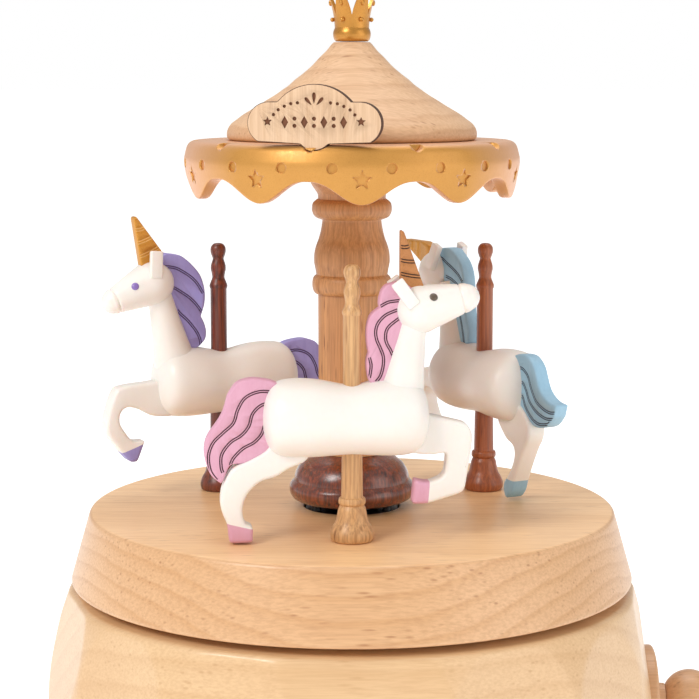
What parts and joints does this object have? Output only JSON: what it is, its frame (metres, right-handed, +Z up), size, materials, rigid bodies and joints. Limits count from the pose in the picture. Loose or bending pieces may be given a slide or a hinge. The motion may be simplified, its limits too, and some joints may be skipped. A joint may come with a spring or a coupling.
{
  "type": "wind-up carousel music box",
  "caption": "Wooden clockwork music box: a turntable with carved unicorns on turned poles circles a fixed column, scalloped canopy, roof and crown; side winding knob.",
  "frame": {"origin": "on the centre post's axis, at the felt underside that rests on the table", "axes": "+Z up along the post, -Y towards the viewer who reads the sign, +X towards the winding knob"},
  "size_m": [0.1299, 0.1172, 0.1602],
  "materials": {
    "base_wood": "satin lacquer",
    "cover_board": "matt",
    "felt": "matt",
    "screw_steel": "satin",
    "nylon": "satin",
    "plate_steel": "satin",
    "post_steel": "polished",
    "cast_frame": "cast",
    "comb_steel": "ground",
    "click_steel": "satin",
    "gear_brass": "polished",
    "cylinder_brass": "polished",
    "spring_steel": "blued",
    "knob_wood": "satin lacquer",
    "turntable_wood": "satin lacquer",
    "black_plastic": "satin",
    "walnut": "gloss lacquer",
    "column_wood": "satin lacquer",
    "gold_paint": "satin metallic paint",
    "roof_wood": "satin lacquer",
    "sign_wood": "matt",
    "crown_gold": "satin metallic paint",
    "pole_light": "satin",
    "pole_brown": "satin",
    "pole_dark": "satin",
    "cream_paint": "satin paint",
    "pink_paint": "matt paint",
    "blue_paint": "matt paint",
    "lavender_paint": "matt paint",
    "horn_wood": "satin metallic paint",
    "horn_gold": "satin metallic paint"
  },
  "bodies": {
    "case": {"base_body": "base_wood", "base_bottom": "cover_board", "felt_pad": "felt", "cover_screws": "screw_steel", "short_screws": "screw_steel", "thrust_washer": "nylon", "post_bridge": "plate_steel", "centre_post": "post_steel", "movement_frame": "cast_frame", "comb": "comb_steel", "hub_cap": "black_plastic", "bell": "walnut", "column": "column_wood", "canopy": "gold_paint", "roof": "roof_wood", "sign": "sign_wood", "crown": "crown_gold"},
    "carousel": {"turntable": "turntable_wood", "hub_gear": "gear_brass", "front_pole": "pole_light", "front_body": "cream_paint", "front_neck": "cream_paint", "front_head": "cream_paint", "front_ears": "cream_paint", "front_horn": "horn_wood", "front_mane": "pink_paint", "front_tail": "pink_paint", "front_foreleg": "cream_paint", "front_hindleg": "cream_paint", "right_pole": "pole_brown", "right_body": "cream_paint", "right_neck": "cream_paint", "right_head": "cream_paint", "right_ears": "cream_paint", "right_horn": "horn_gold", "right_mane": "blue_paint", "right_tail": "blue_paint", "right_foreleg": "cream_paint", "right_hindleg": "cream_paint", "left_pole": "pole_dark", "left_body": "cream_paint", "left_neck": "cream_paint", "left_head": "cream_paint", "left_ears": "cream_paint", "left_horn": "horn_gold", "left_mane": "lavender_paint", "left_tail": "lavender_paint", "left_foreleg": "cream_paint", "left_hindleg": "cream_paint"},
    "cylinder": {"music_cylinder": "cylinder_brass", "cylinder_gears": "gear_brass"},
    "barrel": {"spring_barrel": "gear_brass", "mainspring": "spring_steel"},
    "governor": {"governor_wheel": "gear_brass"},
    "fan": {"governor_fan": "post_steel"},
    "winding": {"ratchet_wheel": "gear_brass", "winding_arbor": "post_steel", "knob_disc": "knob_wood", "knob_ball": "knob_wood"},
    "click": {"click": "click_steel"}
  },
  "joints": [
    {"name": "carousel_spin", "type": "hinge", "parent": "case", "child": "carousel", "pos_m": [0, 0, 0.05], "axis": [0, 0, 1], "continuous": true},
    {"name": "cylinder_spin", "type": "hinge", "parent": "case", "child": "cylinder", "pos_m": [0.024, 0, 0.022], "axis": [0, 0, 1], "continuous": true},
    {"name": "barrel_spin", "type": "hinge", "parent": "case", "child": "barrel", "pos_m": [0.03692, 0, 0.0228], "axis": [1, 0, 0], "continuous": true},
    {"name": "governor_spin", "type": "hinge", "parent": "case", "child": "governor", "pos_m": [0.01721, 0.00679, 0.01], "axis": [0, 0, 1], "continuous": true},
    {"name": "fan_spin", "type": "hinge", "parent": "case", "child": "fan", "pos_m": [0.01022, 0.00679, 0.009], "axis": [0, 1, 0], "continuous": true},
    {"name": "winding_turn", "type": "hinge", "parent": "case", "child": "winding", "pos_m": [0.056, 0, 0.0228], "axis": [1, 0, 0], "continuous": true},
    {"name": "click_pivot", "type": "hinge", "parent": "case", "child": "click", "pos_m": [0.0431, -0.0092, 0.0208], "axis": [1, 0, 0], "range_deg": [0, 12]}
  ],
  "couplings": [
    {"joint": "cylinder_spin", "follows": "carousel_spin", "ratio": -2},
    {"joint": "barrel_spin", "follows": "carousel_spin", "ratio": -1.3333},
    {"joint": "governor_spin", "follows": "carousel_spin", "ratio": 6},
    {"joint": "fan_spin", "follows": "carousel_spin", "ratio": 96}
  ]
}
